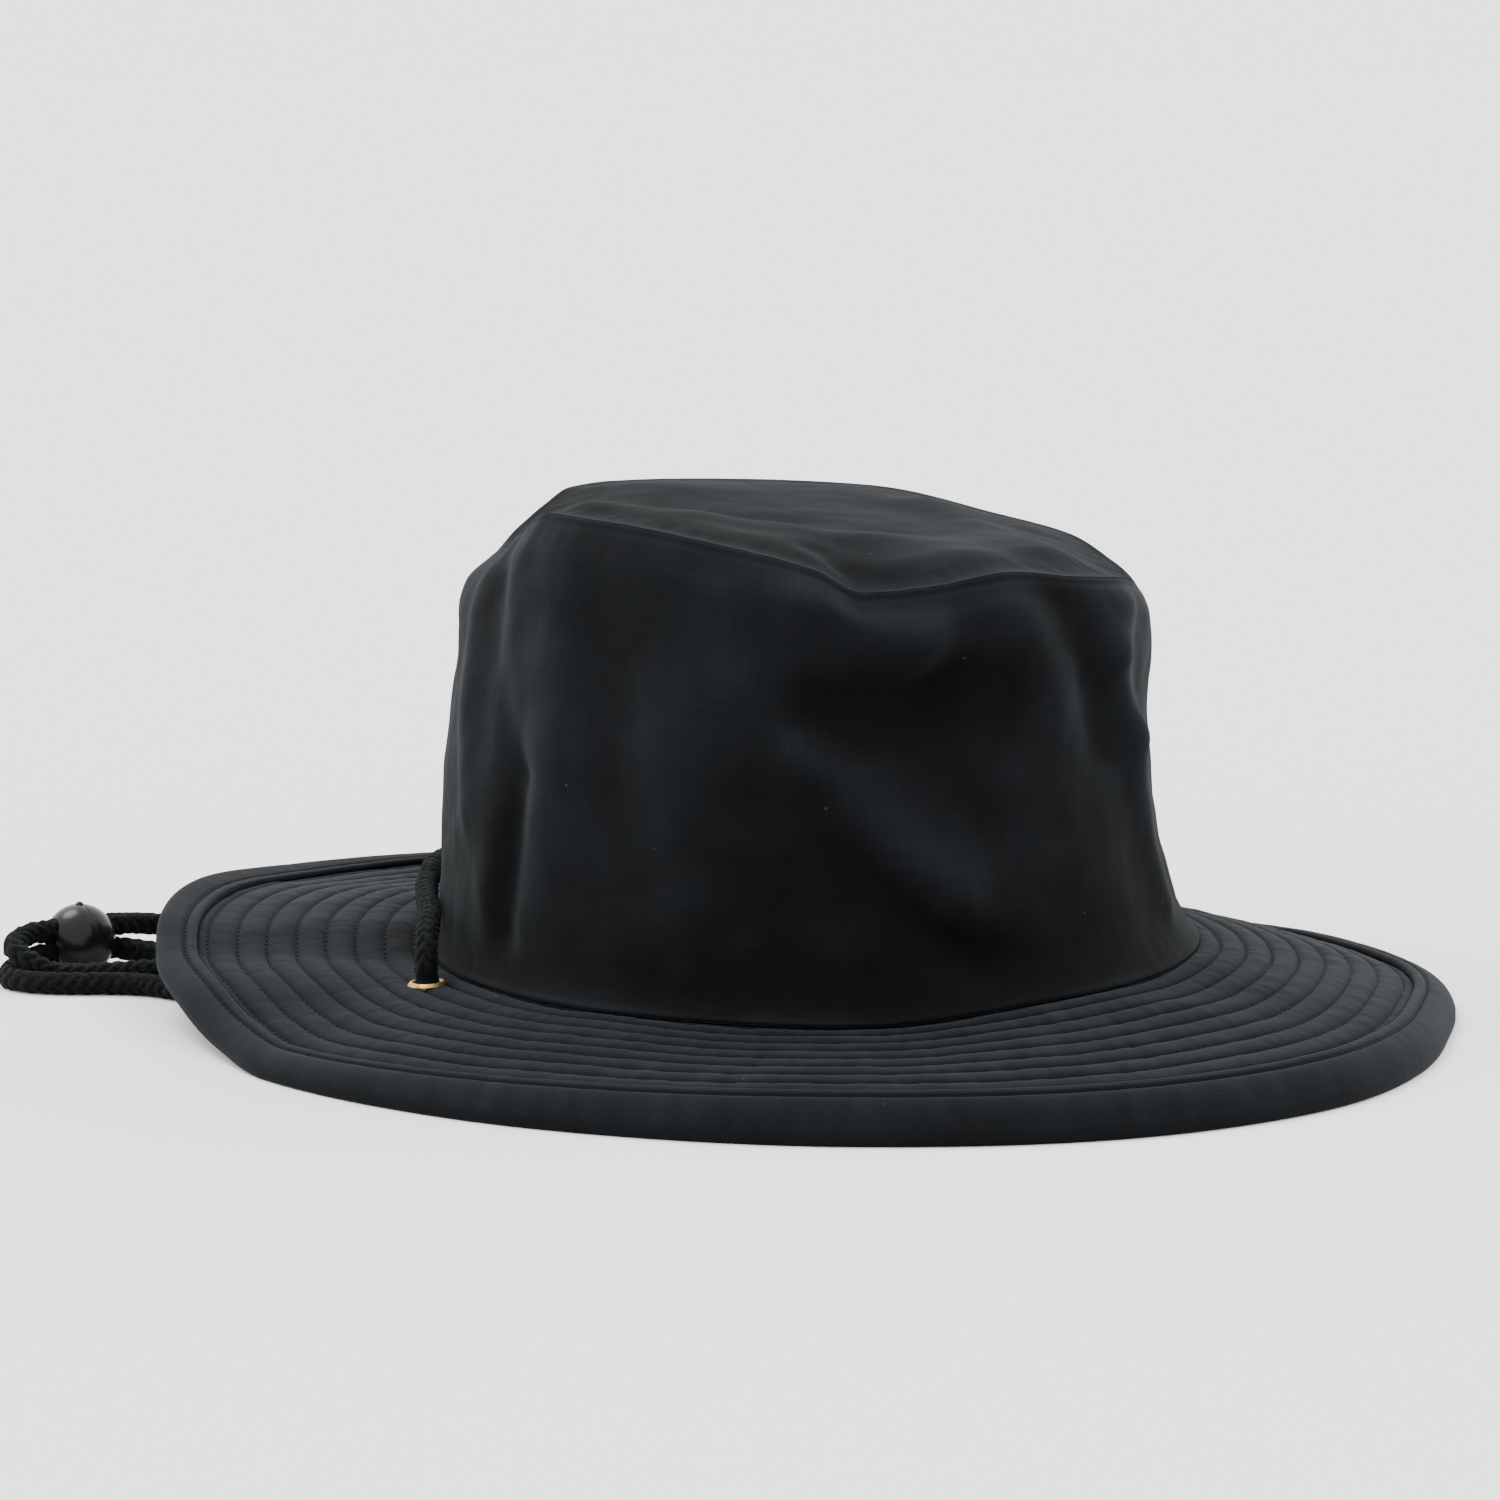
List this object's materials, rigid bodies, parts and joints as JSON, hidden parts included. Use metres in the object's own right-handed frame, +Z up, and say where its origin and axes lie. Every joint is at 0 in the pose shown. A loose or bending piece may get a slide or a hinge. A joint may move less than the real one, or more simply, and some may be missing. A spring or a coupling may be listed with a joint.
{
  "type": "bush hat with a chin cord",
  "caption": "Soft cotton bush hat with an oval crown, a wide quilted brim with a bound edge and a looped chin cord with a ball toggle.",
  "frame": {"origin": "on the surface that the hat lies on, under the middle of the hat without its chin cord", "axes": "+Z up, -Y towards the hat's front, +X towards the hat's left side"},
  "size_m": [0.3089, 0.3238, 0.12],
  "materials": {
    "cotton": "woven black cotton",
    "tape": "folded black cotton tape",
    "brass": "worn brass",
    "braid": "braided black cotton cord",
    "plastic": "glossy dark plastic"
  },
  "bodies": {
    "root": {"crown_side": "cotton", "crown_tip": "cotton", "brim": "cotton", "brim_binding": "tape", "eyelet_left": "brass", "eyelet_right": "brass", "cord_back": "braid", "cord_near": "braid", "cord_far": "braid", "cord_bight": "braid", "toggle": "plastic"}
  },
  "joints": []
}
